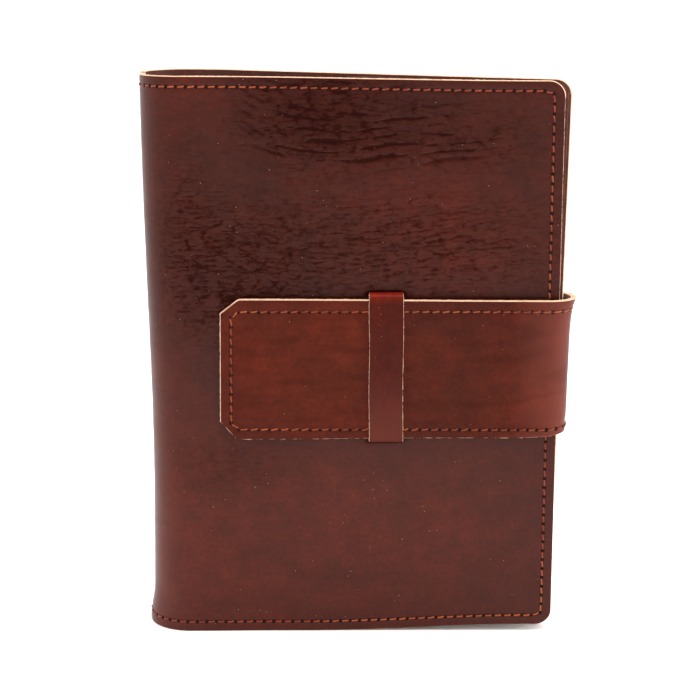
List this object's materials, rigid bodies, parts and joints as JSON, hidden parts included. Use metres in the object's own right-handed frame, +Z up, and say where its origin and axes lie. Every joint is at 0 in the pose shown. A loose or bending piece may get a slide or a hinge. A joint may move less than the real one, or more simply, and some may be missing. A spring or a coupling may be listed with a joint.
{
  "type": "leather notebook cover",
  "caption": "Wraparound stitched leather cover for a small notebook, with a rounded spine and a strap that tucks under a keeper.",
  "frame": {"origin": "middle of the bottom edge plane, at the centre of the closed cover's plan outline", "axes": "+X from the spine to the fore-edge, -Y out of the front cover, +Z up the covers' height"},
  "size_m": [0.1686, 0.0402, 0.222],
  "materials": {
    "hide": "glossy hand-dyed brown leather",
    "lining": "satin dyed lining leather",
    "sleeve": "satin dyed leather",
    "strap": "smooth glossy dyed leather",
    "strap_lining": "satin dyed leather",
    "keeper": "smooth glossy dyed leather",
    "thread": "waxed sewing thread"
  },
  "bodies": {
    "back_cover": {"hide_back": "hide", "lining_back": "lining", "sleeve_back": "sleeve", "seam_thread_back": "thread", "strap_anchor_outer": "strap", "strap_anchor_lining": "strap_lining", "strap_anchor_thread": "thread"},
    "spine": {"hide_spine": "hide", "lining_spine": "lining", "seam_thread_spine": "thread"},
    "front_cover": {"hide_front": "hide", "lining_front": "lining", "sleeve_front": "sleeve", "seam_thread_front": "thread", "keeper": "keeper"},
    "strap_bend": {"strap_bend_outer": "strap", "strap_bend_lining": "strap_lining", "strap_bend_thread": "thread"},
    "strap_tongue": {"strap_tongue_outer": "strap", "strap_tongue_lining": "strap_lining", "strap_tongue_thread": "thread"}
  },
  "joints": [
    {"name": "back_fold", "type": "hinge", "parent": "back_cover", "child": "spine", "pos_m": [-0.07011, 0.01941, 0.111], "axis": [0, 0, -1], "range_deg": [0, 95]},
    {"name": "front_fold", "type": "hinge", "parent": "spine", "child": "front_cover", "pos_m": [-0.07306, -0.01394, 0.111], "axis": [0, 0, -1], "range_deg": [0, 95]},
    {"name": "strap_back_fold", "type": "hinge", "parent": "back_cover", "child": "strap_bend", "pos_m": [0.0746, 0.00098, 0.111], "axis": [0, 0, 1], "range_deg": [0, 86], "deforming": ["strap_bend_outer", "strap_bend_lining", "strap_bend_thread"]},
    {"name": "strap_front_fold", "type": "hinge", "parent": "strap_bend", "child": "strap_tongue", "pos_m": [0.0746, -0.01882, 0.111], "axis": [0, 0, 1], "range_deg": [0, 86], "deforming": ["strap_tongue_outer", "strap_tongue_lining", "strap_tongue_thread"]}
  ],
  "couplings": [
    {"joint": "strap_front_fold", "follows": "strap_back_fold", "ratio": 1}
  ]
}
